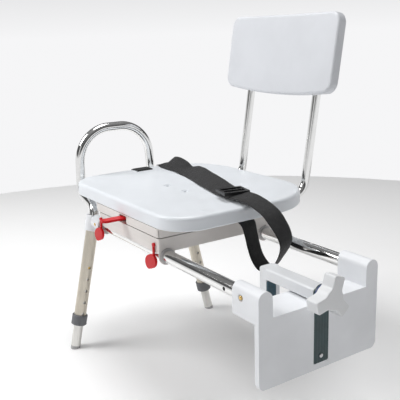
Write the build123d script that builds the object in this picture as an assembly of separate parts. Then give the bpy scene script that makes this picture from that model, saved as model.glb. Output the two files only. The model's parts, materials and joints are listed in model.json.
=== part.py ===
from build123d import *
import math
import os

os.makedirs("parts", exist_ok=True)

# Frame: the origin is the middle of the shelf's underside, where it rests on the tub's rim.
# +X runs along the rails into the tub, +Y is towards the backrest and +Z is up. Millimetres.

# Overall places
RIM_HEIGHT = 305.0            # tub rim above the floor, legs at their shortest
FLOOR_Z = -RIM_HEIGHT
LEG_X = -665.0                # plane of the two legs
RAIL_Y = 136.5                # half the rail spacing
RAIL_Z = 38.0
RAIL_R = 14.3                 # 1 1/8 inch rails
RAIL_WALL = 1.6
BRACKET_BUTTON_X = LEG_X + 40
SADDLE_BUTTON_X = -7.0
SPARE_HOLE_X = -62.0
RUN_GAP = 0.05                # radial gap of a running fit
CLEAR = 0.4                   # gap between parts that pass each other

# Legs
LEG_R = 15.9                  # 1 1/4 inch outer tube
LEG_WALL = 1.6
EXT_R = 12.7                  # 1 inch inner tube
EXT_WALL = 1.5
LEG_Y_AT_RAIL = 140.0
LEG_Y_AT_FLOOR = 219.0
HOLE_PITCH = 31.75
HOLE_R = 4.0
BUTTON_R = 3.8
BUTTON_HOLE_Z = -85.3         # highest adjusting hole
COLLAR_TOP_Z = -213.4
COLLAR_LEN = 27.5

# Grab arm
ARM_R = 12.7
ARM_X = -795.0
ARM_Y = 113.0
ARM_TOP_Z = 260.0
ARM_CORNER_R = 92.0
ARM_KNEE_R = 44.0
ARM_FOOT_R = 30.0
ARM_FOOT_Z = 71.0
ARM_KNEE_Z = 83.0
LEG_TOP_Z = 40.0

# Tub saddle
SADDLE_BACK_X = -33.0
PANEL_BACK_X = 33.0
PANEL_FRONT_X = 45.0
PANEL_BOTTOM_Z = -130.0
SHELF_T = 8.5
SOCKET_HALF_W = 16.5
SOCKET_TOP_Z = 62.0
SADDLE_HALF_Y = RAIL_Y + SOCKET_HALF_W

# Clamp
CLAMP_Z = 24.0
STRAP_HALF_W = 19.0
STRAP_T = 4.0
STRAP_BOTTOM_Z = -117.0
BAR_HALF_W = 18.0
BAR_H = 26.0
BAR_END_X = PANEL_FRONT_X - STRAP_T - 0.6
JAW_FACE_X = -98.0
JAW_T = 21.0
JAW_BOTTOM_Z = -68.0
PAD_T = 4.0
PAD_END_Y = 5.0               # the pad covers the front part of the jaw only
ROD_R = 5.0
KNOB_X = PANEL_FRONT_X + 3.0
KNOB_DEPTH = 32.0
KNOB_REACH = 44.0
KNOB_LOBE_R = 13.0             # half a lobe's width
KNOB_HUB_R = 22.0
KNOB_TURNS = (72.0, 192.0, 312.0)

# Carriage, a folded tray on the rails
TRAY_X0 = -588.0
TRAY_X1 = -293.0
TRAY_HALF_Y = 156.5
TRAY_TOP_Z = 79.5
TRAY_SKIRT_Z = 46.5
EAR_BOTTOM_Z = 18.0
SHEET_T = 2.5

# Slide-lock levers: paddles hanging on the tray's front skirt
LEVER_X = (-575.0, -311.0)
LEVER_Z = 64.0
LEVER_PIN_R = 3.0
LEVER_Y = -TRAY_HALF_Y - 3.0

# Swivel: a ball ring, a spring plunger and the flat lever that lifts it
SWIVEL_X = -441.0
RING_OUT = 92.0
RING_IN = 60.0
BALL_R = 2.5
BALL_PITCH_R = 76.0
BEARING_MID_Z = 86.5
LOCK_PIN_R = 4.0
LOCK_PIN_REACH = 118.0        # plunger's place in front of the swivel axis
SWIVEL_LEVER_X = SWIVEL_X - 17.0
LEVER_HALF_W = 12.0
LEVER_TIP_Y = -212.0
LEVER_HINGE_Y = -TRAY_HALF_Y + 16.0
LEVER_MID_Z = 93.0

# Seat
SEAT_X0 = -773.0
SEAT_X1 = -225.0
SEAT_Y0 = -157.0
SEAT_Y1 = 277.0
SEAT_Z0 = 101.5
SEAT_Z1 = 134.0
SEAT_FRONT_R = 82.0
SEAT_REAR_R = 158.0
SEAT_CX = (SEAT_X0 + SEAT_X1) / 2
PLATE_Z0 = 81.5
PLATE_X0 = -606.0
PLATE_BOLTS = ((-585.0, -125.0), (-320.0, -125.0), (-585.0, 125.0), (-320.0, 125.0))
SCREW_PLACES = ((-740.0, -56.0), (-266.0, -56.0), (-740.0, 148.0), (-266.0, 148.0))
DRAIN_PLACES = ((-523.0, 8.0), (-441.0, 8.0))
SLOT_X = SEAT_X0 + 40.0
SLOT_Y = 60.0

# Backrest
POST_R = 11.1
POST_HALF_SPACING = 134.6
POST_Y = 335.0
POST_START_Y = 208.0          # front end of the run under the seat
POST_UNDER_Z = SEAT_Z0 - POST_R - CLEAR
POST_LEAN = 9.4
LEAN = math.radians(POST_LEAN)
POST_TOP = 395.0              # post length above the seat top, along the lean
BACK_HALF_W = 215.0
BACK_LOW = 222.0              # bottom of the panel above the seat top, along the lean
BACK_HIGH = 418.0
BACK_T = 24.0
BACK_SAG = 15.0

# Belt
WEB_W = 48.0
WEB_T = 3.0
BELT_HEIGHT = 14.0            # the strap lies in loose arches this high
BELT_LINE = ((-764.0, 126.0), (-700.0, 126.0), (-600.0, 114.0), (-477.0, 94.0),
             (-369.0, 68.0), (-290.0, 52.0), (-239.0, 46.0))
LOOP_LINE = ((-233.0, 140.0), (-196.0, 132.0), (-166.0, 96.0), (-150.0, 44.0), (-156.0, 2.0),
             (-184.0, -40.0), (-206.0, -34.0), (-226.0, 10.0), (-240.0, 60.0), (-247.0, 90.0),
             (-264.0, 98.0))


def save(node, shape):
    """Write one node's STEP file."""
    export_step(shape, f"parts/{node}.step")


def rod(start, end, radius):
    """Solid cylinder between two points."""
    start, end = Vector(*start), Vector(*end)
    axis = end - start
    plane = Plane(origin=start, z_dir=axis.normalized())
    return Solid.make_cylinder(radius, axis.length, plane)


def ring(start, end, outer, inner):
    """Tube between two points, with its bore cut right through."""
    start, end = Vector(*start), Vector(*end)
    reach = (end - start).normalized()
    return rod(start, end, outer) - rod(start - reach, end + reach, inner)


def box(low, high):
    """Box between two corners."""
    size = [h - l for l, h in zip(low, high)]
    middle = [(h + l) / 2 for l, h in zip(low, high)]
    return Pos(*middle) * Box(*size)


def swept_tube(points, radii, outer, inner=0.0):
    """Bent tube along straight runs joined by arcs."""
    path = FilletPolyline(*points, radius=radii)
    start = Plane(origin=path @ 0, z_dir=path % 0)
    section = start * Circle(outer)
    if inner > 0:
        section = section - start * Circle(inner)
    return sweep(section, path=path)


def group(shapes):
    """Several separate solids as one node."""
    solids = []
    for shape in shapes:
        solids.extend(shape.solids())
    return Compound(children=solids)


# ---------------------------------------------------------------- legs and arm

LEG_SLOPE = (LEG_Y_AT_FLOOR - LEG_Y_AT_RAIL) / (RAIL_Z - FLOOR_Z)
LEG_TILT = math.degrees(math.atan(LEG_SLOPE))
LEG_COS = math.cos(math.radians(LEG_TILT))


def leg_point(side, z):
    """Point on a leg's axis at height z; side is -1 in front, +1 behind."""
    return (LEG_X, side * (LEG_Y_AT_RAIL + (RAIL_Z - z) * LEG_SLOPE), z)


def leg_tube(side):
    tube = ring(leg_point(side, LEG_TOP_Z), leg_point(side, COLLAR_TOP_Z - 8), LEG_R, LEG_R - LEG_WALL)
    for step in range(5):
        centre = leg_point(side, BUTTON_HOLE_Z - step * HOLE_PITCH * LEG_COS)
        outside = (centre[0] + LEG_R + 4, centre[1], centre[2])
        tube -= rod(centre, outside, HOLE_R)
    return tube


def leg_collar(side):
    """Sleeve that closes the leg's end down to the sliding tube."""
    low_z = COLLAR_TOP_Z - COLLAR_LEN * LEG_COS
    body = rod(leg_point(side, COLLAR_TOP_Z), leg_point(side, low_z), 20.4)
    body = chamfer(body.edges().filter_by(GeomType.CIRCLE), 1.5)
    body -= rod(leg_point(side, COLLAR_TOP_Z + 1), leg_point(side, COLLAR_TOP_Z - 8), LEG_R + 0.02)
    return body - rod(leg_point(side, COLLAR_TOP_Z + 1), leg_point(side, low_z - 2), EXT_R + RUN_GAP)


def leg_guide(side):
    """Plug on the sliding tube's upper end that centres it in the leg."""
    top = BUTTON_HOLE_Z + 42
    return ring(leg_point(side, top), leg_point(side, top - 26), LEG_R - LEG_WALL - RUN_GAP, EXT_R)


def leg_extension(side):
    top = leg_point(side, BUTTON_HOLE_Z + 40)
    bottom = leg_point(side, FLOOR_Z + 7)
    tube = ring(top, bottom, EXT_R, EXT_R - EXT_WALL)
    centre = leg_point(side, BUTTON_HOLE_Z)
    return tube - rod(centre, (centre[0] + EXT_R + 4, centre[1], centre[2]), HOLE_R)


def foot_plug(side):
    """Rubber plug with a thin sole cut level with the floor."""
    stem = rod(leg_point(side, FLOOR_Z + 26), leg_point(side, FLOOR_Z + 7), EXT_R - EXT_WALL)
    sole = rod(leg_point(side, FLOOR_Z + 7), leg_point(side, FLOOR_Z - 12), EXT_R)
    floor = box((LEG_X - 60, -400, FLOOR_Z - 60), (LEG_X + 60, 400, FLOOR_Z))
    return stem + (sole - floor)


def leg_button(side):
    """Domed snap button, here pressed just clear of the outer tube's bore."""
    x, y, z = leg_point(side, BUTTON_HOLE_Z)
    button = rod((x + 7, y, z), (x + LEG_R - LEG_WALL - CLEAR, y, z), BUTTON_R)
    return fillet(button.edges().filter_by(GeomType.CIRCLE).sort_by(Axis.X)[-1:], 1.4)


def leaf_spring(side):
    """Folded leaf spring that pushes the leg's button outwards."""
    x, y, z = leg_point(side, BUTTON_HOLE_Z)
    back = box((x - 9.5, y - 3, z - 20), (x - 8.5, y + 3, z + 16))
    fold = box((x - 9.5, y - 3, z - 21), (x + 6.5, y + 3, z - 20))
    blade = box((x + 5.5, y - 3, z - 20), (x + 6.5, y + 3, z + 6))
    spring = back + fold + blade
    return spring.rotate(Axis((x, y, z), (1, 0, 0)), side * LEG_TILT)


def arm_points():
    """Centre line of the grab arm, from inside the front leg to inside the rear leg."""
    half = [leg_point(-1, LEG_TOP_Z - 24), leg_point(-1, ARM_FOOT_Z)]
    half.append((ARM_X, -ARM_Y, ARM_KNEE_Z))
    half.append((ARM_X, -ARM_Y + 6, ARM_TOP_Z))
    mirrored = [(x, -y, z) for x, y, z in reversed(half)]
    return half + mirrored


def grab_arm():
    radii = [ARM_FOOT_R, ARM_KNEE_R, ARM_CORNER_R, ARM_CORNER_R, ARM_KNEE_R, ARM_FOOT_R]
    return swept_tube(arm_points(), radii, ARM_R, ARM_R - 1.6)


def arm_bush(side):
    """Sleeve between the arm's end and the leg's bore."""
    skirt = ring(leg_point(side, LEG_TOP_Z), leg_point(side, LEG_TOP_Z - 22), LEG_R - LEG_WALL, ARM_R)
    rim = ring(leg_point(side, LEG_TOP_Z + 3), leg_point(side, LEG_TOP_Z), LEG_R, ARM_R)
    return skirt + rim


def rail_bracket(side):
    """Moulded tee that clamps the leg and takes the rail's end."""
    collar = rod(leg_point(side, 52.0), leg_point(side, 12.0), 20.5)
    collar = fillet(collar.edges().filter_by(GeomType.CIRCLE), 2.0)
    y = side * RAIL_Y
    sleeve = rod((LEG_X, y, RAIL_Z), (LEG_X + 58, y, RAIL_Z), 18.0)
    web = box((LEG_X + 4, y - 6, 16), (LEG_X + 46, y + 6, 30))
    tee = collar + sleeve + web
    tee -= rod(leg_point(side, 80.0), leg_point(side, -10.0), LEG_R + 0.02)
    tee -= rod((LEG_X + 17, y, RAIL_Z), (LEG_X + 70, y, RAIL_Z), RAIL_R + 0.02)
    x = BRACKET_BUTTON_X
    return tee - rod((x, y, RAIL_Z), (x, y + side * 30, RAIL_Z), HOLE_R + 0.2)


# ---------------------------------------------------------------- rails

def rail(side):
    y = side * RAIL_Y
    tube = ring((LEG_X + 18, y, RAIL_Z), (30, y, RAIL_Z), RAIL_R, RAIL_R - RAIL_WALL)
    for x in (BRACKET_BUTTON_X, SADDLE_BUTTON_X, SPARE_HOLE_X):
        tube -= rod((x, y, RAIL_Z), (x, y + side * 20, RAIL_Z), HOLE_R)
    return tube


def rail_button(side, x, wall_y):
    """Domed button across the rail's outer wall."""
    y = side * RAIL_Y
    stem = rod((x, y + side * 8, RAIL_Z), (x, y + side * wall_y, RAIL_Z), BUTTON_R)
    ends = stem.edges().filter_by(GeomType.CIRCLE).sort_by(lambda e: -side * e.center().Y)
    return fillet([ends[0]], 1.6)


# ---------------------------------------------------------------- tub saddle

def socket_block(side):
    """Rail socket with a rounded top, as deep as the shelf."""
    y = side * RAIL_Y
    top_z = SOCKET_TOP_Z - SOCKET_HALF_W
    low = box((SADDLE_BACK_X, y - SOCKET_HALF_W, 0), (PANEL_FRONT_X, y + SOCKET_HALF_W, top_z))
    crown = rod((SADDLE_BACK_X, y, top_z), (PANEL_FRONT_X, y, top_z), SOCKET_HALF_W)
    return low + crown


def tub_saddle():
    panel = box((PANEL_BACK_X, -SADDLE_HALF_Y, PANEL_BOTTOM_Z), (PANEL_FRONT_X, SADDLE_HALF_Y, SHELF_T))
    corners = panel.edges().filter_by(Axis.X).group_by(Axis.Z)[0]
    panel = fillet(corners, 14.0)
    shelf = box((SADDLE_BACK_X, -RAIL_Y, 0), (PANEL_FRONT_X, RAIL_Y, SHELF_T))
    saddle = panel + shelf + socket_block(-1) + socket_block(1)
    for y in (-95.0, 95.0):
        gusset = Polyline((PANEL_BACK_X, y, 0), (PANEL_BACK_X, y, -46), (PANEL_BACK_X - 12, y, 0), close=True)
        saddle += extrude(make_face(gusset), 3, dir=(0, 1, 0), both=True)
    for side in (-1, 1):
        y = side * RAIL_Y
        saddle -= rod((SADDLE_BACK_X - 1, y, RAIL_Z), (30.5, y, RAIL_Z), RAIL_R + 0.02)
        saddle -= rod((SADDLE_BUTTON_X, y, RAIL_Z), (SADDLE_BUTTON_X, y + side * 30, RAIL_Z), HOLE_R + 3)
    recess = box((PANEL_FRONT_X - STRAP_T, -STRAP_HALF_W - 0.2, STRAP_BOTTOM_Z - 0.2),
                 (PANEL_FRONT_X + 1, STRAP_HALF_W + 0.2, 60))
    saddle -= recess
    screw = rod((PANEL_BACK_X + 2, 0, STRAP_BOTTOM_Z + 14), (PANEL_FRONT_X, 0, STRAP_BOTTOM_Z + 14), 2.2)
    return saddle - screw


def clamp_strap():
    """Steel strap let into the panel, rounded where it carries the clamp screw."""
    x0, x1 = PANEL_FRONT_X - STRAP_T, PANEL_FRONT_X
    flat = box((x0, -STRAP_HALF_W, STRAP_BOTTOM_Z), (x1, STRAP_HALF_W, CLAMP_Z))
    flat = fillet(flat.edges().filter_by(Axis.X).group_by(Axis.Z)[0], 5.0)
    strap = flat + rod((x0, 0, CLAMP_Z), (x1, 0, CLAMP_Z), STRAP_HALF_W)
    strap -= rod((x0 - 1, 0, CLAMP_Z), (x1 + 1, 0, CLAMP_Z), ROD_R + RUN_GAP)
    return strap - rod((x0 - 1, 0, STRAP_BOTTOM_Z + 14), (x1 + 1, 0, STRAP_BOTTOM_Z + 14), 2.2)


def strap_screw():
    z = STRAP_BOTTOM_Z + 14
    head = rod((PANEL_FRONT_X, 0, z), (PANEL_FRONT_X + 2.2, 0, z), 4.4)
    head = fillet(head.edges().filter_by(GeomType.CIRCLE).sort_by(Axis.X)[-1:], 1.6)
    return head + rod((PANEL_BACK_X + 3, 0, z), (PANEL_FRONT_X, 0, z), 2.15)


# ---------------------------------------------------------------- clamp

def clamp_bar():
    """Hollow bar above the shelf with the jaw's leg at its far end."""
    top = CLAMP_Z + BAR_H / 2
    low = CLAMP_Z - BAR_H / 2
    bar = box((JAW_FACE_X - JAW_T, -BAR_HALF_W, low), (BAR_END_X, BAR_HALF_W, top))
    bar = fillet(bar.edges().filter_by(Axis.X), 5.0)
    leg = box((JAW_FACE_X - JAW_T, -BAR_HALF_W, JAW_BOTTOM_Z), (JAW_FACE_X, BAR_HALF_W, top))
    leg = fillet(leg.edges().filter_by(Axis.Y), 6.0)
    jaw = bar + leg
    hollow = box((JAW_FACE_X + 8, -BAR_HALF_W + 4, low - 1), (BAR_END_X - 12, BAR_HALF_W - 4, top - 4))
    nut_slot = box((BAR_END_X - 12.5, -9.02, CLAMP_Z - 9.02), (BAR_END_X - 4, 9.02, CLAMP_Z + 9.02))
    bore = rod((JAW_FACE_X, 0, CLAMP_Z), (BAR_END_X + 1, 0, CLAMP_Z), ROD_R + 0.8)
    return jaw - hollow - nut_slot - bore


def clamp_nut():
    block = box((BAR_END_X - 12, -9, CLAMP_Z - 9), (BAR_END_X - 4, 9, CLAMP_Z + 9))
    return block - rod((BAR_END_X - 14, 0, CLAMP_Z), (BAR_END_X, 0, CLAMP_Z), ROD_R + RUN_GAP)


def jaw_pad():
    pad = box((JAW_FACE_X, -BAR_HALF_W + 0.5, JAW_BOTTOM_Z + 5),
              (JAW_FACE_X + PAD_T, PAD_END_Y, CLAMP_Z - BAR_H / 2 - 1))
    return fillet(pad.edges().filter_by(Axis.X), 2.0)


def clamp_rod():
    """Clamp screw at its full thread diameter."""
    return rod((-58, 0, CLAMP_Z), (KNOB_X + 20, 0, CLAMP_Z), ROD_R)


def clamp_washer():
    return ring((PANEL_FRONT_X + 0.1, 0, CLAMP_Z), (KNOB_X - 0.1, 0, CLAMP_Z), 19.6, ROD_R + RUN_GAP)


def clamp_knob():
    """Three-lobed hand knob with scooped flanks, on a round hub."""
    outline = Circle(KNOB_HUB_R)
    for turn in KNOB_TURNS:
        outline += Rot(0, 0, turn) * (Pos(KNOB_REACH / 2, 0) * Rectangle(KNOB_REACH, 2 * KNOB_LOBE_R))
    inner = [v for v in outline.vertices() if math.hypot(v.X, v.Y) < KNOB_REACH - KNOB_LOBE_R]
    outline = fillet(inner, 12.0)
    outer = [v for v in outline.vertices() if math.hypot(v.X, v.Y) > KNOB_REACH - 1]
    outline = fillet(outer, 4.0)
    face = Plane(origin=(KNOB_X + 3, 0, CLAMP_Z), x_dir=(0, 1, 0), z_dir=(1, 0, 0))
    star = extrude(face * outline, KNOB_DEPTH - 3)
    star = fillet(star.faces().sort_by(Axis.X)[-1].edges(), 2.2)
    knob = star + rod((KNOB_X, 0, CLAMP_Z), (KNOB_X + 12, 0, CLAMP_Z), KNOB_HUB_R - 5)
    bore = rod((KNOB_X - 1, 0, CLAMP_Z), (KNOB_X + 20, 0, CLAMP_Z), ROD_R + 0.01)
    return knob - bore


# ---------------------------------------------------------------- carriage

def carriage_tray():
    """Folded sheet tray whose four ears hang round the rails."""
    outer = box((TRAY_X0, -TRAY_HALF_Y, TRAY_SKIRT_Z), (TRAY_X1, TRAY_HALF_Y, TRAY_TOP_Z))
    outer = fillet(outer.edges().filter_by(Axis.Z), 3.0)
    inner = box((TRAY_X0 + SHEET_T, -TRAY_HALF_Y + SHEET_T, TRAY_SKIRT_Z - 1),
                (TRAY_X1 - SHEET_T, TRAY_HALF_Y - SHEET_T, TRAY_TOP_Z - SHEET_T))
    tray = outer - inner
    for x in (TRAY_X0, TRAY_X1 - SHEET_T):
        for side in (-1, 1):
            y = side * RAIL_Y
            ear = rod((x, y, RAIL_Z), (x + SHEET_T, y, RAIL_Z), 20.0)
            neck = box((x, y - 20, RAIL_Z), (x + SHEET_T, y + 20, TRAY_SKIRT_Z + 8))
            tray += ear + neck
    for side in (-1, 1):
        y = side * RAIL_Y
        tray -= rod((TRAY_X0 - 5, y, RAIL_Z), (TRAY_X1 + 5, y, RAIL_Z), RAIL_R + 2.3)
    tray -= rod((SWIVEL_X, 0, TRAY_TOP_Z - 5), (SWIVEL_X, 0, TRAY_TOP_Z + 1), 20.0)
    for x, y in lock_holes():
        tray -= rod((x, y, TRAY_TOP_Z - 5), (x, y, TRAY_TOP_Z + 1), LOCK_PIN_R + 0.2)
    for x in LEVER_X:
        tray -= rod((x, -TRAY_HALF_Y - 2, LEVER_Z), (x, -TRAY_HALF_Y + 4, LEVER_Z), LEVER_PIN_R + 0.02)
    return tray


def rail_bushes():
    """Plastic slide bushes pressed into the four ears."""
    bushes = []
    for x in (TRAY_X0, TRAY_X1 - SHEET_T):
        for side in (-1, 1):
            y = side * RAIL_Y
            sleeve = rod((x - 3, y, RAIL_Z), (x + SHEET_T + 3, y, RAIL_Z), RAIL_R + 2.3)
            for face in (x - 3, x + SHEET_T):
                sleeve += rod((face, y, RAIL_Z), (face + 3, y, RAIL_Z), RAIL_R + 3.4)
            bore = rod((x - 4, y, RAIL_Z), (x + SHEET_T + 4, y, RAIL_Z), RAIL_R + RUN_GAP)
            bushes.append(sleeve - bore)
    return group(bushes)


def slide_lever(x):
    """Leaf-shaped paddle, thin stem and pivot pin in one moulding."""
    plane = Plane(origin=(0, LEVER_Y + 2.0, 0), x_dir=(1, 0, 0), z_dir=(0, -1, 0))
    blade = extrude(plane * (Pos(x - 12, LEVER_Z - 41) * Rot(0, 0, 24) * Ellipse(24, 16)), 6.0)
    tail = extrude(plane * (Pos(x - 21, LEVER_Z - 48) * Circle(12.5)), 6.0)
    stem = extrude(plane * (Pos(x - 0.5, LEVER_Z - 16) * Rectangle(4.5, 32)), 4.0)
    boss = extrude(plane * (Pos(x, LEVER_Z) * Circle(4.5)), 4.0)
    pin = rod((x, LEVER_Y + 2.0, LEVER_Z), (x, -TRAY_HALF_Y + 8, LEVER_Z), LEVER_PIN_R)
    return blade + tail + stem + boss + pin


def slide_cam(x):
    """Cam on the lever's pin that presses on the rail when the paddle is down."""
    y0 = -TRAY_HALF_Y + SHEET_T + 0.6
    disc = rod((x, y0, LEVER_Z), (x, y0 + 5.0, LEVER_Z), 9.0)
    return disc - rod((x, y0 - 1, LEVER_Z), (x, y0 + 6, LEVER_Z), LEVER_PIN_R + 0.01)


# ---------------------------------------------------------------- swivel

def lock_holes():
    """Places of the tray's lock holes, at the two seat directions."""
    offset_x = SWIVEL_LEVER_X - SWIVEL_X
    return ((SWIVEL_LEVER_X, -LOCK_PIN_REACH), (SWIVEL_X - LOCK_PIN_REACH, -offset_x))


def bearing_race(z0, z1):
    race = ring((SWIVEL_X, 0, z0), (SWIVEL_X, 0, z1), RING_OUT, RING_IN)
    groove = Pos(SWIVEL_X, 0, BEARING_MID_Z) * Torus(BALL_PITCH_R, BALL_R + 0.05)
    return race - groove


def bearing_balls():
    balls = []
    for index in range(20):
        angle = math.radians(18 * index)
        x = SWIVEL_X + BALL_PITCH_R * math.cos(angle)
        balls.append(Pos(x, BALL_PITCH_R * math.sin(angle), BEARING_MID_Z) * Sphere(BALL_R))
    return group(balls)


def swivel_pivot():
    """Hollow centre rivet under the swivel plate that keeps the seat on the tray."""
    low = TRAY_TOP_Z - SHEET_T - 3
    stem = rod((SWIVEL_X, 0, low), (SWIVEL_X, 0, SEAT_Z0 - SHEET_T), 9.0)
    flange = rod((SWIVEL_X, 0, low - 3), (SWIVEL_X, 0, low), 28.0)
    return stem + flange - rod((SWIVEL_X, 0, low - 10), (SWIVEL_X, 0, SEAT_Z0), 6.0)


def swivel_plate():
    """Folded plate under the seat with a shallow skirt all round."""
    outer = box((PLATE_X0, -TRAY_HALF_Y, PLATE_Z0), (TRAY_X1, TRAY_HALF_Y, SEAT_Z0))
    outer = fillet(outer.edges().filter_by(Axis.Z), 10.0)
    inner = box((PLATE_X0 + SHEET_T, -TRAY_HALF_Y + SHEET_T, PLATE_Z0 - 1),
                (TRAY_X1 - SHEET_T, TRAY_HALF_Y - SHEET_T, SEAT_Z0 - SHEET_T))
    plate = outer - inner
    slot = box((SWIVEL_LEVER_X - 17, -TRAY_HALF_Y - 1, PLATE_Z0 - 1),
               (SWIVEL_LEVER_X + 17, -TRAY_HALF_Y + 4, SEAT_Z0 - SHEET_T))
    for x, y in PLATE_BOLTS:
        plate -= rod((x, y, SEAT_Z0 - SHEET_T - 1), (x, y, SEAT_Z0 + 1), 2.6)
    return plate - slot


def swivel_lever():
    """Flat lever that leaves the skirt's slot towards the sitter's knees."""
    x, low, high = SWIVEL_LEVER_X, LEVER_MID_Z - 2.5, LEVER_MID_Z + 2.5
    tip_y = LEVER_TIP_Y + LEVER_HALF_W
    blade = box((x - LEVER_HALF_W, tip_y, low), (x + LEVER_HALF_W, -LOCK_PIN_REACH + 8, high))
    lever = blade + rod((x, tip_y, low), (x, tip_y, high), LEVER_HALF_W)
    lever -= box((x - 4.6, -LOCK_PIN_REACH - 6, low - 1), (x + 4.6, -LOCK_PIN_REACH + 9, high + 1))
    return lever - rod((x - 20, LEVER_HINGE_Y, LEVER_MID_Z), (x + 20, LEVER_HINGE_Y, LEVER_MID_Z), 1.6)


def lever_hinge():
    """Hinge pin and its two lugs under the swivel plate."""
    y, z = LEVER_HINGE_Y, LEVER_MID_Z
    pin = rod((SWIVEL_LEVER_X - 19, y, z), (SWIVEL_LEVER_X + 19, y, z), 1.55)
    for side in (-1, 1):
        x = SWIVEL_LEVER_X + side * 17
        pin += box((x - 2, y - 5, z - 3), (x + 2, y + 5, SEAT_Z0 - SHEET_T))
    return pin


def lock_pin():
    """Plunger that drops from the seat side into the tray's hole."""
    x, y = SWIVEL_LEVER_X, -LOCK_PIN_REACH
    stem = rod((x, y, TRAY_TOP_Z + 0.5), (x, y, LEVER_MID_Z + 1), LOCK_PIN_R)
    return stem + rod((x, y, LEVER_MID_Z - 6), (x, y, LEVER_MID_Z - 4), 6.0)


# ---------------------------------------------------------------- seat

def seat_outline(inset=0.0):
    """Seat shape from above: small front corners, wide rear corners."""
    x0, x1 = SEAT_X0 + inset, SEAT_X1 - inset
    y0, y1 = SEAT_Y0 + inset, SEAT_Y1 - inset
    front, rear = SEAT_FRONT_R - inset, SEAT_REAR_R - inset
    base = make_face(Polyline((x0, y0), (x1, y0), (x1, y1), (x0, y1), close=True))
    low = base.vertices().group_by(Axis.Y)[0]
    face = fillet(low, front)
    high = [v for v in face.vertices() if v.Y > y1 - 1]
    return fillet(high, rear)


def seat_shell():
    """Moulded seat: flat top, rolled edge and a ribbed hollow underneath."""
    shell = extrude(Pos(0, 0, SEAT_Z0) * seat_outline(), SEAT_Z1 - SEAT_Z0)
    shell = fillet(shell.edges().group_by(Axis.Z)[-1], 9.0)
    shell = fillet(shell.edges().group_by(Axis.Z)[0], 4.0)
    hollow = extrude(Pos(0, 0, SEAT_Z0 - 1) * seat_outline(16.0), 24.0)
    rib_top = SEAT_Z1 - 5
    for y in (-95.0, 60.0, 190.0):
        hollow -= box((SEAT_X0 + 10, y - 3, SEAT_Z0), (SEAT_X1 - 10, y + 3, rib_top))
    for x in (-620.0, -499.0, -378.0):
        hollow -= box((x - 3, SEAT_Y0 + 10, SEAT_Z0), (x + 3, SEAT_Y1 - 10, rib_top))
    for x, y in SCREW_PLACES + PLATE_BOLTS + DRAIN_PLACES:
        hollow -= rod((x, y, SEAT_Z0), (x, y, rib_top), 11.0)
    hollow -= box((SEAT_X0 + 10, SLOT_Y - 34, SEAT_Z0), (SLOT_X + 10, SLOT_Y + 34, rib_top))
    shell -= hollow
    for x, y in SCREW_PLACES:
        shell -= rod((x, y, SEAT_Z1 - 1.5), (x, y, SEAT_Z1 + 1), 6.0)
    for x, y in DRAIN_PLACES:
        shell -= rod((x, y, SEAT_Z0 - 1), (x, y, SEAT_Z1 + 1), 4.0)
        shell -= rod((x, y, SEAT_Z1 - 1.2), (x, y, SEAT_Z1 + 1), 9.5)
    for x, y in PLATE_BOLTS:
        shell -= rod((x, y, SEAT_Z0 - 1), (x, y, SEAT_Z0 + 16), 2.6)
    slot = box((SLOT_X - 3, SLOT_Y - 27, SEAT_Z0 - 1), (SLOT_X + 3, SLOT_Y + 27, SEAT_Z1 + 1))
    return shell - fillet(slot.edges().filter_by(Axis.Z), 2.5)


def seat_caps():
    """Small plugs over the four corner screws."""
    caps = []
    for x, y in SCREW_PLACES:
        caps.append(rod((x, y, SEAT_Z1 - 1.5), (x, y, SEAT_Z1 + 0.2), 5.9))
    return group(caps)


def plate_bolts():
    bolts = []
    for x, y in PLATE_BOLTS:
        shank = rod((x, y, SEAT_Z0 - SHEET_T - 1), (x, y, SEAT_Z0 + 15), 2.5)
        head = rod((x, y, SEAT_Z0 - SHEET_T - 5), (x, y, SEAT_Z0 - SHEET_T), 5.5)
        bolts.append(shank + head)
    return group(bolts)


# ---------------------------------------------------------------- backrest

def back_point(along, off=0.0, x=SEAT_CX):
    """Point in the backrest's leaning frame: along the posts and off them towards +Y."""
    y = POST_Y + along * math.sin(LEAN) + off * math.cos(LEAN)
    z = SEAT_Z1 + along * math.cos(LEAN) - off * math.sin(LEAN)
    return (x, y, z)


def back_post(side):
    """Post that runs out from under the seat and turns up behind it."""
    x = SEAT_CX + side * POST_HALF_SPACING
    corner_along = (POST_UNDER_Z - SEAT_Z1) / math.cos(LEAN)
    points = [(x, POST_START_Y, POST_UNDER_Z), back_point(corner_along, x=x), back_point(POST_TOP, x=x)]
    return swept_tube(points, [42.0], POST_R, POST_R - 1.6)


def post_saddle(side):
    """Clip that holds a post to the seat's underside."""
    x = SEAT_CX + side * POST_HALF_SPACING
    clips = []
    for y in (222.0, 252.0):
        block = box((x - 17, y - 9, POST_UNDER_Z - POST_R - 3), (x + 17, y + 9, SEAT_Z0 - 0.05))
        bore = rod((x, y - 10, POST_UNDER_Z), (x, y + 10, POST_UNDER_Z), POST_R + 0.02)
        clips.append(block - bore)
    return clips


def back_panel():
    """Moulded rest with rounded corners and a bottom edge that bows downwards."""
    outward = (0, -math.cos(LEAN), math.sin(LEAN))
    plane = Plane(origin=back_point(0, -POST_R), x_dir=(1, 0, 0), z_dir=outward)
    low, high, half = BACK_LOW, BACK_HIGH, BACK_HALF_W
    left = Line((-half, low), (-half, high))
    top = ThreePointArc((-half, high), (0, high - 2), (half, high))
    right = Line((half, high), (half, low))
    bottom = ThreePointArc((half, low), (0, low - BACK_SAG), (-half, low))
    face = make_face(left + top + right + bottom)
    face = fillet(face.vertices(), 30.0)
    panel = extrude(plane * face, BACK_T)
    rims = panel.edges().filter_by(lambda e: abs(plane.to_local_coords(e.center()).Z - BACK_T) < 0.01)
    return fillet(rims, 7.0)


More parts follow.
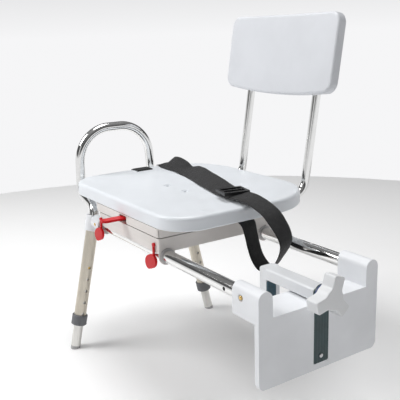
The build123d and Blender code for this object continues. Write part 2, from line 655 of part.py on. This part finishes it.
def back_bolts():
    """Round heads of the two bolts that go through each post into the panel."""
    bolts = []
    for side in (-1, 1):
        x = SEAT_CX + side * POST_HALF_SPACING
        for along in (255.0, 370.0):
            head = rod(back_point(along, POST_R, x), back_point(along, POST_R + 4, x), 6.5)
            bolts.append(head)
    return group(bolts)


def post_caps():
    """Plastic plugs in the posts' top ends."""
    caps = []
    for side in (-1, 1):
        x = SEAT_CX + side * POST_HALF_SPACING
        caps.append(rod(back_point(POST_TOP, x=x), back_point(POST_TOP + 4, x=x), POST_R))
    return group(caps)


# ---------------------------------------------------------------- belt

def belt_anchor():
    """Webbing wrapped over the seat's edge and through the slot."""
    y0, y1 = SLOT_Y - WEB_W / 2, SLOT_Y + WEB_W / 2
    over = box((SEAT_X0 - WEB_T - 0.3, y0, SEAT_Z1 + 0.3), (SLOT_X + 1.5, y1, SEAT_Z1 + 0.3 + WEB_T))
    side = box((SEAT_X0 - WEB_T - 0.3, y0, SEAT_Z0 - WEB_T), (SEAT_X0 - 0.3, y1, SEAT_Z1 + 0.3))
    under = box((SEAT_X0 - WEB_T - 0.3, y0, SEAT_Z0 - WEB_T - 0.3), (SLOT_X + 1.5, y1, SEAT_Z0 - 0.3))
    drop = box((SLOT_X - 1.5, y0, SEAT_Z0 - 1), (SLOT_X + 1.5, y1, SEAT_Z1 + 1))
    return over + side + under + drop


def band(points, width):
    """Closed outline of a band that follows the points."""
    left, right = [], []
    for index, point in enumerate(points):
        before = points[max(index - 1, 0)]
        after = points[min(index + 1, len(points) - 1)]
        dx, dy = after[0] - before[0], after[1] - before[1]
        length = math.hypot(dx, dy)
        nx, ny = -dy / length * width / 2, dx / length * width / 2
        left.append((point[0] + nx, point[1] + ny))
        right.append((point[0] - nx, point[1] - ny))
    return make_face(Polyline(*left, *reversed(right), close=True))


def belt_strap():
    """Plain band where the strap lies across the seat."""
    return extrude(Pos(0, 0, SEAT_Z1 + CLEAR) * band(BELT_LINE, WEB_W), BELT_HEIGHT)


def belt_loop():
    """Plain band where the strap's spare length hangs over the seat's edge."""
    plane = Plane(origin=(0, 78, 0), x_dir=(1, 0, 0), z_dir=(0, -1, 0))
    return extrude(plane * band(LOOP_LINE, WEB_T), WEB_W)


def belt_buckle():
    """Three-bar slide buckle round the strap."""
    frame = box((-26, -32, 0), (26, 32, 7))
    frame -= box((-17, -25, -1), (-3, 25, 8)) + box((3, -25, -1), (17, 25, 8))
    return Pos(-306, 54, SEAT_Z1 + CLEAR + BELT_HEIGHT) * Rot(0, 0, -12) * frame


# ---------------------------------------------------------------- write the nodes

SIDES = (("front", -1), ("rear", 1))

for name, side in SIDES:
    save(f"{name}_rail", rail(side))
    save(f"{name}_rail_bracket", rail_bracket(side))
    save(f"{name}_leg_tube", leg_tube(side))
    save(f"{name}_leg_collar", leg_collar(side))
    save(f"{name}_leg_guide", leg_guide(side))
    save(f"{name}_leg_extension", leg_extension(side))
    save(f"{name}_foot_plug", foot_plug(side))
    save(f"{name}_leg_button", leg_button(side))
    save(f"{name}_leaf_spring", leaf_spring(side))
    save(f"{name}_rail_button", rail_button(side, SADDLE_BUTTON_X, SOCKET_HALF_W + 1.5))
    save(f"{name}_bracket_button", rail_button(side, BRACKET_BUTTON_X, 19.5))

for name, side in (("left", -1), ("right", 1)):
    save(f"{name}_back_post", back_post(side))

save("grab_arm", grab_arm())
save("arm_bushes", group([arm_bush(-1), arm_bush(1)]))
save("tub_saddle", tub_saddle())
save("clamp_strap", clamp_strap())
save("strap_screw", strap_screw())
save("clamp_bar", clamp_bar())
save("clamp_nut", clamp_nut())
save("jaw_pad", jaw_pad())
save("clamp_rod", clamp_rod())
save("clamp_washer", clamp_washer())
save("clamp_knob", clamp_knob())

save("carriage_tray", carriage_tray())
save("rail_bushes", rail_bushes())
for name, x in zip(("left", "right"), LEVER_X):
    save(f"{name}_slide_lever", slide_lever(x))
    save(f"{name}_slide_cam", slide_cam(x))
save("bearing_lower_race", bearing_race(TRAY_TOP_Z, BEARING_MID_Z - 0.3))
save("bearing_upper_race", bearing_race(BEARING_MID_Z + 0.3, SEAT_Z0 - SHEET_T))
save("bearing_balls", bearing_balls())
save("swivel_pivot", swivel_pivot())
save("swivel_plate", swivel_plate())
save("swivel_lever", swivel_lever())
save("lever_hinge", lever_hinge())
save("lock_pin", lock_pin())

save("seat_shell", seat_shell())
save("seat_caps", seat_caps())
save("plate_bolts", plate_bolts())
save("post_clips", group(post_saddle(-1) + post_saddle(1)))
save("back_panel", back_panel())
save("back_bolts", back_bolts())
save("post_caps", post_caps())
save("belt_anchor", belt_anchor())
save("belt_strap", belt_strap())
save("belt_loop", belt_loop())
save("belt_buckle", belt_buckle())
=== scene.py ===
import json
import math

import bpy
from mathutils import Matrix, Vector
from mathutils.noise import noise as vnoise


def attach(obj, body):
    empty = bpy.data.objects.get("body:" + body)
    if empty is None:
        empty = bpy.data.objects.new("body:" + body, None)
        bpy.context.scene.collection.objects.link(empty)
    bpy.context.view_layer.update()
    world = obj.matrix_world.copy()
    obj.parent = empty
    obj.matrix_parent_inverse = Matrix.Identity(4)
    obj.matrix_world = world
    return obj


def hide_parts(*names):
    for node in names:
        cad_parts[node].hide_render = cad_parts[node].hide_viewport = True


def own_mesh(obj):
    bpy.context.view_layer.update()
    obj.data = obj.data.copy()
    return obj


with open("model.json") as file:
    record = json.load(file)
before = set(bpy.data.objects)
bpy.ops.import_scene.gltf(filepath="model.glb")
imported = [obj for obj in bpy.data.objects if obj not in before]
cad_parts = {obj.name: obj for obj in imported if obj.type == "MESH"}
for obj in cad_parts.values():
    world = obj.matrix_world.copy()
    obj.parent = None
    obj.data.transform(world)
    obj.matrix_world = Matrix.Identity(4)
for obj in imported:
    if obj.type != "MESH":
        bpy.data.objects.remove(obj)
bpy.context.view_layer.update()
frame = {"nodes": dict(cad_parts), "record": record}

NODES = frame["nodes"]

# Metres unless a name says otherwise.
WEB_WIDTH = 0.048
WEB_THICK = 0.0022
WEB_STEP = 0.004            # between cross sections along a strap
WEB_ACROSS = 12             # faces over a strap's width
THREAD_PITCH = 0.0018       # weave, along the strap
ROW_PITCH = 0.0028          # weave, over the strap
FLOOR_CENTRE_X = -0.33
FLOOR_Z = -0.3052
FLOOR_RADIUS = 2.3
FLOOR_GLOW = 0.12
LIGHTS_AIM = (-0.4, 0.0, 0.1)
SKY = ((0.0, 0.92), (0.06, 0.8), (0.16, 0.1), (0.3, 0.06), (0.5, 0.14), (1.0, 0.3))
CAMERA_AT = (0.889, -0.8254, 0.5077)
CAMERA_TURN = math.radians(56.6)
CAMERA_DOWN = math.radians(14.2)
CAMERA_ROLL = math.radians(-1.8)
SENSOR_MM = 36.0
FOCAL_PX = 657.9
FRAME_PX = 400.0


def fill_ramp(ramp, stops):
    while len(ramp.elements) < len(stops):
        ramp.elements.new(0.5)
    for element, (place, colour) in zip(ramp.elements, stops):
        element.position = place
        element.color = (*colour, 1.0)


def add_mesh(name, verts, faces, material):
    """Smooth-shaded mesh object in the scene."""
    mesh = bpy.data.meshes.new(name)
    mesh.from_pydata(verts, [], faces)
    mesh.polygons.foreach_set("use_smooth", [True] * len(mesh.polygons))
    mesh.materials.append(material)
    obj = bpy.data.objects.new(name, mesh)
    bpy.context.scene.collection.objects.link(obj)
    return obj


# ---------------------------------------------------------------- materials

class Look:
    """A node material built up from procedural parts."""

    def __init__(self, name, rough, metal=0.0, coords="Object"):
        self.mat = bpy.data.materials.new(name)
        self.mat.use_nodes = True
        self.tree = self.mat.node_tree
        self.bsdf = self.tree.nodes["Principled BSDF"]
        self.bsdf.inputs["Roughness"].default_value = rough
        self.bsdf.inputs["Metallic"].default_value = metal
        self.coord = self.add("ShaderNodeTexCoord").outputs[coords]
        self.height = None

    def add(self, kind, **values):
        node = self.tree.nodes.new(kind)
        for key, value in values.items():
            setattr(node, key, value)
        return node

    def link(self, a, b):
        self.tree.links.new(a, b)

    def stretched(self, scale):
        node = self.add("ShaderNodeMapping")
        node.inputs["Scale"].default_value = scale
        self.link(self.coord, node.inputs["Vector"])
        return node.outputs["Vector"]

    def noise(self, scale, detail=4.0, rough=0.55, vector=None):
        node = self.add("ShaderNodeTexNoise")
        node.inputs["Scale"].default_value = scale
        node.inputs["Detail"].default_value = detail
        node.inputs["Roughness"].default_value = rough
        self.link(vector or self.coord, node.inputs["Vector"])
        return node.outputs["Fac"]

    def voronoi(self, scale):
        node = self.add("ShaderNodeTexVoronoi", feature="SMOOTH_F1")
        node.inputs["Scale"].default_value = scale
        node.inputs["Smoothness"].default_value = 0.6
        self.link(self.coord, node.inputs["Vector"])
        return node.outputs["Distance"]

    def waves(self, direction, scale):
        node = self.add("ShaderNodeTexWave", bands_direction=direction)
        node.inputs["Scale"].default_value = scale
        self.link(self.coord, node.inputs["Vector"])
        return node.outputs["Fac"]

    def ramp(self, fac, stops):
        node = self.add("ShaderNodeValToRGB")
        self.link(fac, node.inputs["Fac"])
        fill_ramp(node.color_ramp, stops)
        return node.outputs["Color"]

    def spread(self, fac, low, high, start=0.3, end=0.7):
        node = self.add("ShaderNodeMapRange")
        node.inputs["From Min"].default_value = start
        node.inputs["From Max"].default_value = end
        node.inputs["To Min"].default_value = low
        node.inputs["To Max"].default_value = high
        self.link(fac, node.inputs["Value"])
        return node.outputs["Result"]

    def mix(self, fac, a, b):
        """Socket a towards plain colour b."""
        node = self.add("ShaderNodeMix", data_type="RGBA")
        self.link(fac, node.inputs["Factor"])
        self.link(a, node.inputs["A"])
        node.inputs["B"].default_value = (*b, 1.0)
        return node.outputs["Result"]

    def math(self, op, a, b=0.0):
        node = self.add("ShaderNodeMath", operation=op)
        for socket, value in zip(node.inputs, (a, b)):
            if isinstance(value, (int, float)):
                socket.default_value = value
            else:
                self.link(value, socket)
        return node.outputs["Value"]

    def colour(self, socket):
        self.link(socket, self.bsdf.inputs["Base Color"])

    def rough(self, socket):
        self.link(socket, self.bsdf.inputs["Roughness"])

    def bump(self, height, distance, strength=1.0):
        node = self.add("ShaderNodeBump")
        node.inputs["Distance"].default_value = distance
        node.inputs["Strength"].default_value = strength
        self.link(height, node.inputs["Height"])
        if self.height is not None:
            self.link(self.height, node.inputs["Normal"])
        self.height = node.outputs["Normal"]
        self.link(self.height, self.bsdf.inputs["Normal"])

    def coat(self, weight, rough):
        self.bsdf.inputs["Coat Weight"].default_value = weight
        self.bsdf.inputs["Coat Roughness"].default_value = rough


def tint(colour, gain):
    return tuple(min(1.0, c * gain) for c in colour)


def moulded(name, colour, rough, grain=900.0, depth=0.00006, tone=0.05, sss=0.0, spec=0.5):
    """Moulded plastic: fine pebble grain, slow tone drift and handling scuffs."""
    look = Look(name, rough)
    drift = look.noise(9.0, 3.0)
    base = look.ramp(drift, ((0.3, tint(colour, 1 - tone)), (0.7, tint(colour, 1 + tone))))
    scuff = look.noise(60.0, 6.0, 0.7, look.stretched((1.0, 3.0, 2.0)))
    marks = look.spread(scuff, 0.0, 0.12, 0.62, 0.78)
    look.colour(look.mix(marks, base, tint(colour, 0.8)))
    look.rough(look.spread(look.noise(35.0, 5.0), rough - 0.07, rough + 0.07))
    look.bump(look.voronoi(grain), depth)
    look.bump(look.noise(14.0, 2.0), 0.0006, 0.25)
    look.bsdf.inputs["Specular IOR Level"].default_value = spec
    if sss:
        look.bsdf.inputs["Subsurface Weight"].default_value = sss
        look.bsdf.inputs["Subsurface Radius"].default_value = (0.004, 0.004, 0.004)
    return look.mat


def painted(name, colour, rough):
    """Powder coat: orange peel, dust-dulled patches and darker rubbed edges."""
    look = Look(name, rough)
    patch = look.noise(12.0, 4.0)
    base = look.ramp(patch, ((0.3, tint(colour, 0.95)), (0.7, tint(colour, 1.04))))
    geometry = look.add("ShaderNodeNewGeometry")
    edge = look.spread(geometry.outputs["Pointiness"], 0.0, 0.5, 0.54, 0.62)
    look.colour(look.mix(edge, base, tint(colour, 0.7)))
    look.rough(look.spread(look.noise(40.0, 5.0), rough - 0.08, rough + 0.1))
    look.bump(look.noise(260.0, 2.0, 0.4), 0.00005)
    look.coat(0.25, 0.2)
    return look.mat


def plated(name, colour, rough):
    """Bright plating: mirror finish with faint smears and water spots."""
    look = Look(name, rough, 1.0)
    smear = look.noise(18.0, 6.0, 0.65, look.stretched((1.0, 2.5, 2.5)))
    look.colour(look.ramp(smear, ((0.25, tint(colour, 0.93)), (0.75, tint(colour, 1.03)))))
    spots = look.spread(look.voronoi(130.0), 0.05, 0.0, 0.0, 0.18)
    look.rough(look.math("ADD", look.spread(smear, rough, rough + 0.08), spots))
    look.bump(look.noise(55.0, 3.0), 0.0002, 0.12)
    return look.mat


def drawn(name, colour, rough, along):
    """Satin drawn tube: fine streaks along the tube and dull rub marks."""
    look = Look(name, rough, 1.0)
    streak = look.noise(1.0, 5.0, 0.7, look.stretched(along))
    patch = look.noise(16.0, 4.0)
    base = look.ramp(streak, ((0.3, tint(colour, 0.88)), (0.7, tint(colour, 1.08))))
    look.colour(look.mix(look.spread(patch, 0.0, 0.25), base, tint(colour, 0.85)))
    satin = look.spread(streak, rough - 0.06, rough + 0.06)
    look.rough(look.math("ADD", satin, look.spread(patch, 0.0, 0.08)))
    look.bump(streak, 0.00003)
    return look.mat


def rubbery(name, colour):
    """Dull rubber with fine grain and shallow rings."""
    look = Look(name, 0.7)
    look.colour(look.ramp(look.noise(25.0, 5.0), ((0.3, tint(colour, 0.8)), (0.7, tint(colour, 1.25)))))
    look.rough(look.spread(look.noise(80.0, 4.0), 0.58, 0.85))
    look.bump(look.noise(1400.0, 2.0), 0.00006)
    look.bump(look.waves("Z", 60.0), 0.0004, 0.6)
    return look.mat


def ribbed_paint(name, colour):
    """Dark coated strap with shallow ribs along its length."""
    look = Look(name, 0.42)
    look.colour(look.ramp(look.noise(30.0, 5.0), ((0.3, tint(colour, 0.85)), (0.7, tint(colour, 1.2)))))
    look.bump(look.waves("Y", 42.0), 0.0005, 0.5)
    look.bump(look.noise(500.0, 2.0), 0.00004)
    look.rough(look.spread(look.noise(70.0, 4.0), 0.35, 0.5))
    look.coat(0.2, 0.25)
    return look.mat


def threaded(name, colour):
    """Zinc steel with a thread's turns along X."""
    look = Look(name, 0.35, 1.0)
    look.colour(look.ramp(look.noise(40.0, 5.0), ((0.3, tint(colour, 0.85)), (0.7, tint(colour, 1.1)))))
    look.bump(look.waves("X", 32.0), 0.0012, 0.9)
    look.rough(look.spread(look.noise(90.0, 4.0), 0.25, 0.45))
    return look.mat


def webbing(name, colour):
    """Nylon webbing: twill ribs across u and v, fuzz sheen and worn highlights."""
    look = Look(name, 0.72, 0.0, "UV")
    split = look.add("ShaderNodeSeparateXYZ")
    look.link(look.coord, split.inputs["Vector"])
    u, v = split.outputs["X"], split.outputs["Y"]
    rows = look.math("SINE", look.math("MULTIPLY", v, 2 * math.pi / ROW_PITCH))
    shift = look.math("MULTIPLY", look.math("SIGN", rows), THREAD_PITCH / 4)
    picks = look.math("SINE", look.math("MULTIPLY", look.math("ADD", u, shift), 2 * math.pi / THREAD_PITCH))
    over = look.math("ADD", look.math("MULTIPLY", picks, 0.5), 0.5)
    weave = look.math("MULTIPLY", look.math("ABSOLUTE", rows), over)
    wear = look.noise(90.0, 6.0, 0.7)
    yarn = look.ramp(weave, ((0.0, tint(colour, 0.45)), (0.8, tint(colour, 1.35))))
    look.colour(look.mix(look.spread(wear, 0.0, 0.35, 0.5, 0.75), yarn, tint(colour, 1.9)))
    look.rough(look.spread(wear, 0.62, 0.85))
    look.bump(weave, 0.0004, 0.8)
    look.bump(look.noise(2500.0, 2.0), 0.0001, 0.4)
    look.bsdf.inputs["Sheen Weight"].default_value = 0.12
    look.bsdf.inputs["Sheen Roughness"].default_value = 0.4
    return look.mat


WHITE = (0.84, 0.855, 0.88)
LOOKS = {
    "chrome": plated("chrome", (0.83, 0.83, 0.82), 0.07),
    "satin_leg": drawn("satin_leg", (0.66, 0.61, 0.52), 0.34, (260.0, 260.0, 5.0)),
    "inner_tube": drawn("inner_tube", (0.76, 0.75, 0.72), 0.28, (260.0, 260.0, 5.0)),
    "brass_button": drawn("brass_button", (0.80, 0.56, 0.22), 0.2, (120.0, 120.0, 120.0)),
    "bush_plastic": moulded("bush_plastic", (0.52, 0.50, 0.50), 0.45),
    "grey_plastic": moulded("grey_plastic", (0.15, 0.155, 0.165), 0.5),
    "white_plastic": moulded("white_plastic", WHITE, 0.42),
    "seat_plastic": moulded("seat_plastic", (0.80, 0.83, 0.865), 0.36, 520.0, 0.0001, 0.02, 0.05),
    "back_plastic": moulded("back_plastic", (0.66, 0.675, 0.705), 0.45, 520.0, 0.0001, 0.03, 0.05),
    "cream_paint": painted("cream_paint", (0.82, 0.775, 0.74), 0.38),
    "red_plastic": moulded("red_plastic", (0.60, 0.006, 0.011), 0.36, 700.0, 0.00004, spec=0.2),
    "black_plastic": moulded("black_plastic", (0.012, 0.012, 0.013), 0.32, 800.0),
    "belt_webbing": webbing("belt_webbing", (0.012, 0.0117, 0.0125)),
    "foot_rubber": rubbery("foot_rubber", (0.40, 0.40, 0.40)),
    "pad_rubber": rubbery("pad_rubber", (0.035, 0.075, 0.10)),
    "teal_paint": ribbed_paint("teal_paint", (0.008, 0.038, 0.043)),
    "grey_paint": painted("grey_paint", (0.80, 0.815, 0.835), 0.36),
    "knob_plastic": moulded("knob_plastic", (0.78, 0.79, 0.80), 0.4, 700.0),
    "navy_plastic": moulded("navy_plastic", (0.015, 0.03, 0.14), 0.4),
    "steel": drawn("steel", (0.60, 0.60, 0.61), 0.32, (150.0, 60.0, 60.0)),
}
SCREW = threaded("screw_steel", (0.60, 0.60, 0.61))


def dress_nodes():
    slots = {entry["node"]: entry["material_slot"] for entry in frame["record"]["subparts"]}
    for name, obj in NODES.items():
        obj.data.materials.clear()
        obj.data.materials.append(SCREW if name == "clamp_rod" else LOOKS[slots[name]])


# ---------------------------------------------------------------- webbing

def catmull(values, step):
    """Catmull-Rom through (middle, side) pairs, sampled about evenly along the middle."""
    ends = [(2 * values[0][0] - values[1][0], values[0][1])] + values
    ends.append((2 * values[-1][0] - values[-2][0], values[-1][1]))
    dense = []
    for i in range(1, len(ends) - 2):
        for k in range(24):
            t = k / 24
            w = (t * (-1 + t * (2 - t)) / 2, (2 + t * t * (-5 + 3 * t)) / 2,
                 t * (1 + t * (4 - 3 * t)) / 2, t * t * (-1 + t) / 2)
            part = ends[i - 1:i + 3]
            dense.append(tuple(sum((p[n] * f for p, f in zip(part, w)), Vector()) for n in (0, 1)))
    dense.append(values[-1])
    walked, line = 0.0, [dense[0]]
    for a, b in zip(dense, dense[1:]):
        walked += (b[0] - a[0]).length
        if walked >= step:
            line.append(b)
            walked = 0.0
    return line


def ribbon(name, edges, body, ripple=0.0):
    """Woven strap through pairs of edge points in mm: a closed band with thinner selvedges, UVs in metres."""
    pairs = []
    for near, far in edges:
        near, far = Vector(near) * 0.001, Vector(far) * 0.001
        pairs.append(((near + far) / 2, (far - near).normalized()))
    line = catmull(pairs, WEB_STEP)
    ring = [(-1 + 2 * j / WEB_ACROSS, 1.0) for j in range(WEB_ACROSS + 1)]
    ring += [(1 - 2 * j / WEB_ACROSS, -1.0) for j in range(WEB_ACROSS + 1)]
    verts, faces, uvs, walked = [], [], [], 0.0
    for i, (p, side) in enumerate(line):
        if i:
            walked += (p - line[i - 1][0]).length
        along = (line[min(i + 1, len(line) - 1)][0] - line[max(i - 1, 0)][0]).normalized()
        side = (side - along * side.dot(along)).normalized()
        up = along.cross(side)
        for s, face in ring:
            edge = 1.0 - 0.55 * abs(s) ** 10
            sag = ripple * vnoise(Vector((walked * 34, s * 1.3, 3.0)))
            verts.append(tuple(p + side * (s * WEB_WIDTH / 2) + up * (face * WEB_THICK / 2 * edge + sag)))
            uvs.append((walked, s * WEB_WIDTH / 2))
    count = len(ring)
    for i in range(len(line) - 1):
        for j in range(count):
            k = (j + 1) % count
            faces.append((i * count + j, i * count + k, (i + 1) * count + k, (i + 1) * count + j))
    faces.append(tuple(range(count - 1, -1, -1)))
    last = (len(line) - 1) * count
    faces.append(tuple(range(last, last + count)))
    obj = add_mesh(name, verts, faces, LOOKS["belt_webbing"])
    layer = obj.data.uv_layers.new(name="web")
    for loop in obj.data.loops:
        layer.data[loop.index].uv = uvs[loop.vertex_index]
    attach(obj, body)
    return obj


def belt():
    """Belt from its anchor across the seat, through the buckle and over the edge in a loop."""
    strap = ribbon("belt_strap_web", (
        ((-768, 118, 136), (-772, 162, 138)),
        ((-752, 121, 136), (-748, 161, 144)),
        ((-728, 120, 138), (-714, 142, 158)),
        ((-690, 116, 142), (-678, 140, 163)),
        ((-655, 112, 141), (-648, 146, 158)),
        ((-620, 106, 137.5), (-622, 146, 149)),
        ((-590, 103, 136.5), (-570, 132, 158)),
        ((-535, 88, 137), (-516, 118, 164)),
        ((-476, 70, 137), (-464, 106, 163)),
        ((-414, 54, 137), (-410, 95, 161)),
        ((-354, 40, 137.5), (-354, 85, 155)),
        ((-306, 31, 142), (-306, 77, 150)),
        ((-262, 28, 146), (-262, 73, 153))), "seat", ripple=0.0012)
    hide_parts("belt_strap")
    loop = ribbon("belt_loop_web", (
        ((-264, 28, 146), (-264, 73, 153)),
        ((-240, 27, 146), (-240, 71, 153)),
        ((-218, 27, 144), (-218, 73, 149)),
        ((-194, 27, 137), (-193, 75, 142)),
        ((-166, 29, 125), (-166, 77, 129)),
        ((-143, 32, 105), (-146, 80, 108)),
        ((-129, 36, 88), (-137, 84, 88)),
        ((-123, 41, 68), (-137, 87, 68)),
        ((-131, 45, 44), (-151, 89, 44)),
        ((-150, 48, 18), (-173, 90, 18)),
        ((-174, 46, -3), (-192, 90, -3)),
        ((-198, 41, -8), (-210, 87, -8)),
        ((-217, 37, 11), (-231, 83, 11)),
        ((-227, 34, 38), (-241, 80, 38)),
        ((-233, 31, 66), (-246, 77, 66)),
        ((-243, 29, 88), (-252, 75, 88)),
        ((-272, 26, 98), (-270, 74, 98))), "seat")
    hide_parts("belt_loop")
    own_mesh(loop)
    route = ((-733, 98), (-733, 134), (-737, 136.4), (-752, 136.4), (-768, 135.6), (-774.6, 129),
             (-774.8, 116), (-773, 103), (-766, 99.4), (-748, 99))
    anchor = ribbon("belt_anchor_web", [((x, 36, z), (x, 84, z)) for x, z in route], "seat")
    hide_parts("belt_anchor")


# ---------------------------------------------------------------- light, floor and camera

def stage_set():
    """Pale round floor under the feet."""
    turns = 64
    verts = [(FLOOR_CENTRE_X, 0.0, FLOOR_Z)]
    for k in range(turns):
        a = 2 * math.pi * k / turns
        verts.append((FLOOR_CENTRE_X + FLOOR_RADIUS * math.cos(a), FLOOR_RADIUS * math.sin(a), FLOOR_Z))
    faces = [(0, 1 + k, 1 + (k + 1) % turns) for k in range(turns)]
    look = Look("floor", 0.9)
    look.bsdf.inputs["Emission Color"].default_value = (1.0, 1.0, 1.0, 1.0)
    look.bsdf.inputs["Emission Strength"].default_value = FLOOR_GLOW
    look.colour(look.ramp(look.noise(1.2, 3.0), ((0.3, (0.93, 0.93, 0.93)), (0.7, (0.95, 0.95, 0.95)))))
    floor = add_mesh("floor", verts, faces, look.mat)


def area(name, place, size, power):
    """Round soft light aimed at the bench."""
    light = bpy.data.lights.new(name, "AREA")
    light.shape = "DISK"
    light.size = size
    light.energy = power
    obj = bpy.data.objects.new(name, light)
    obj.location = place
    obj.rotation_euler = (Vector(LIGHTS_AIM) - Vector(place)).to_track_quat("-Z", "Y").to_euler()
    bpy.context.scene.collection.objects.link(obj)


def lights():
    """Sky by height, bright at the horizon with a dark band above it, and three soft lights."""
    world = bpy.data.worlds.new("studio")
    bpy.context.scene.world = world
    world.use_nodes = True
    tree = world.node_tree
    coord = tree.nodes.new("ShaderNodeTexCoord")
    split = tree.nodes.new("ShaderNodeSeparateXYZ")
    ramp = tree.nodes.new("ShaderNodeValToRGB")
    tree.links.new(coord.outputs["Generated"], split.inputs["Vector"])
    tree.links.new(split.outputs["Z"], ramp.inputs["Fac"])
    fill_ramp(ramp.color_ramp, [(place, (value, value, value * 1.01)) for place, value in SKY])
    tree.links.new(ramp.outputs["Color"], tree.nodes["Background"].inputs["Color"])
    tree.nodes["Background"].inputs["Strength"].default_value = 1.0
    area("key", (-1.6, -1.6, 1.9), 1.3, 38.0)
    area("top", (-0.8, 0.2, 2.7), 1.4, 42.0)
    area("fill", (0.2, -2.3, 1.0), 1.2, 2.0)


def camera():
    data = bpy.data.cameras.new("camera")
    data.sensor_width = SENSOR_MM
    data.lens = SENSOR_MM * FOCAL_PX / FRAME_PX
    data.clip_end = 50.0
    cam = bpy.data.objects.new("camera", data)
    forward = Vector((-math.sin(CAMERA_TURN) * math.cos(CAMERA_DOWN),
                      math.cos(CAMERA_TURN) * math.cos(CAMERA_DOWN),
                      -math.sin(CAMERA_DOWN)))
    level = Vector((math.cos(CAMERA_TURN), math.sin(CAMERA_TURN), 0))
    upright = level.cross(forward)
    right = level * math.cos(CAMERA_ROLL) + upright * math.sin(CAMERA_ROLL)
    up = upright * math.cos(CAMERA_ROLL) - level * math.sin(CAMERA_ROLL)
    basis = Matrix((right, up, -forward)).transposed()
    cam.matrix_world = Matrix.Translation(CAMERA_AT) @ basis.to_4x4()
    bpy.context.scene.collection.objects.link(cam)
    bpy.context.scene.camera = cam


dress_nodes()
belt()
stage_set()
lights()
camera()
bpy.context.scene.view_settings.view_transform = "Standard"
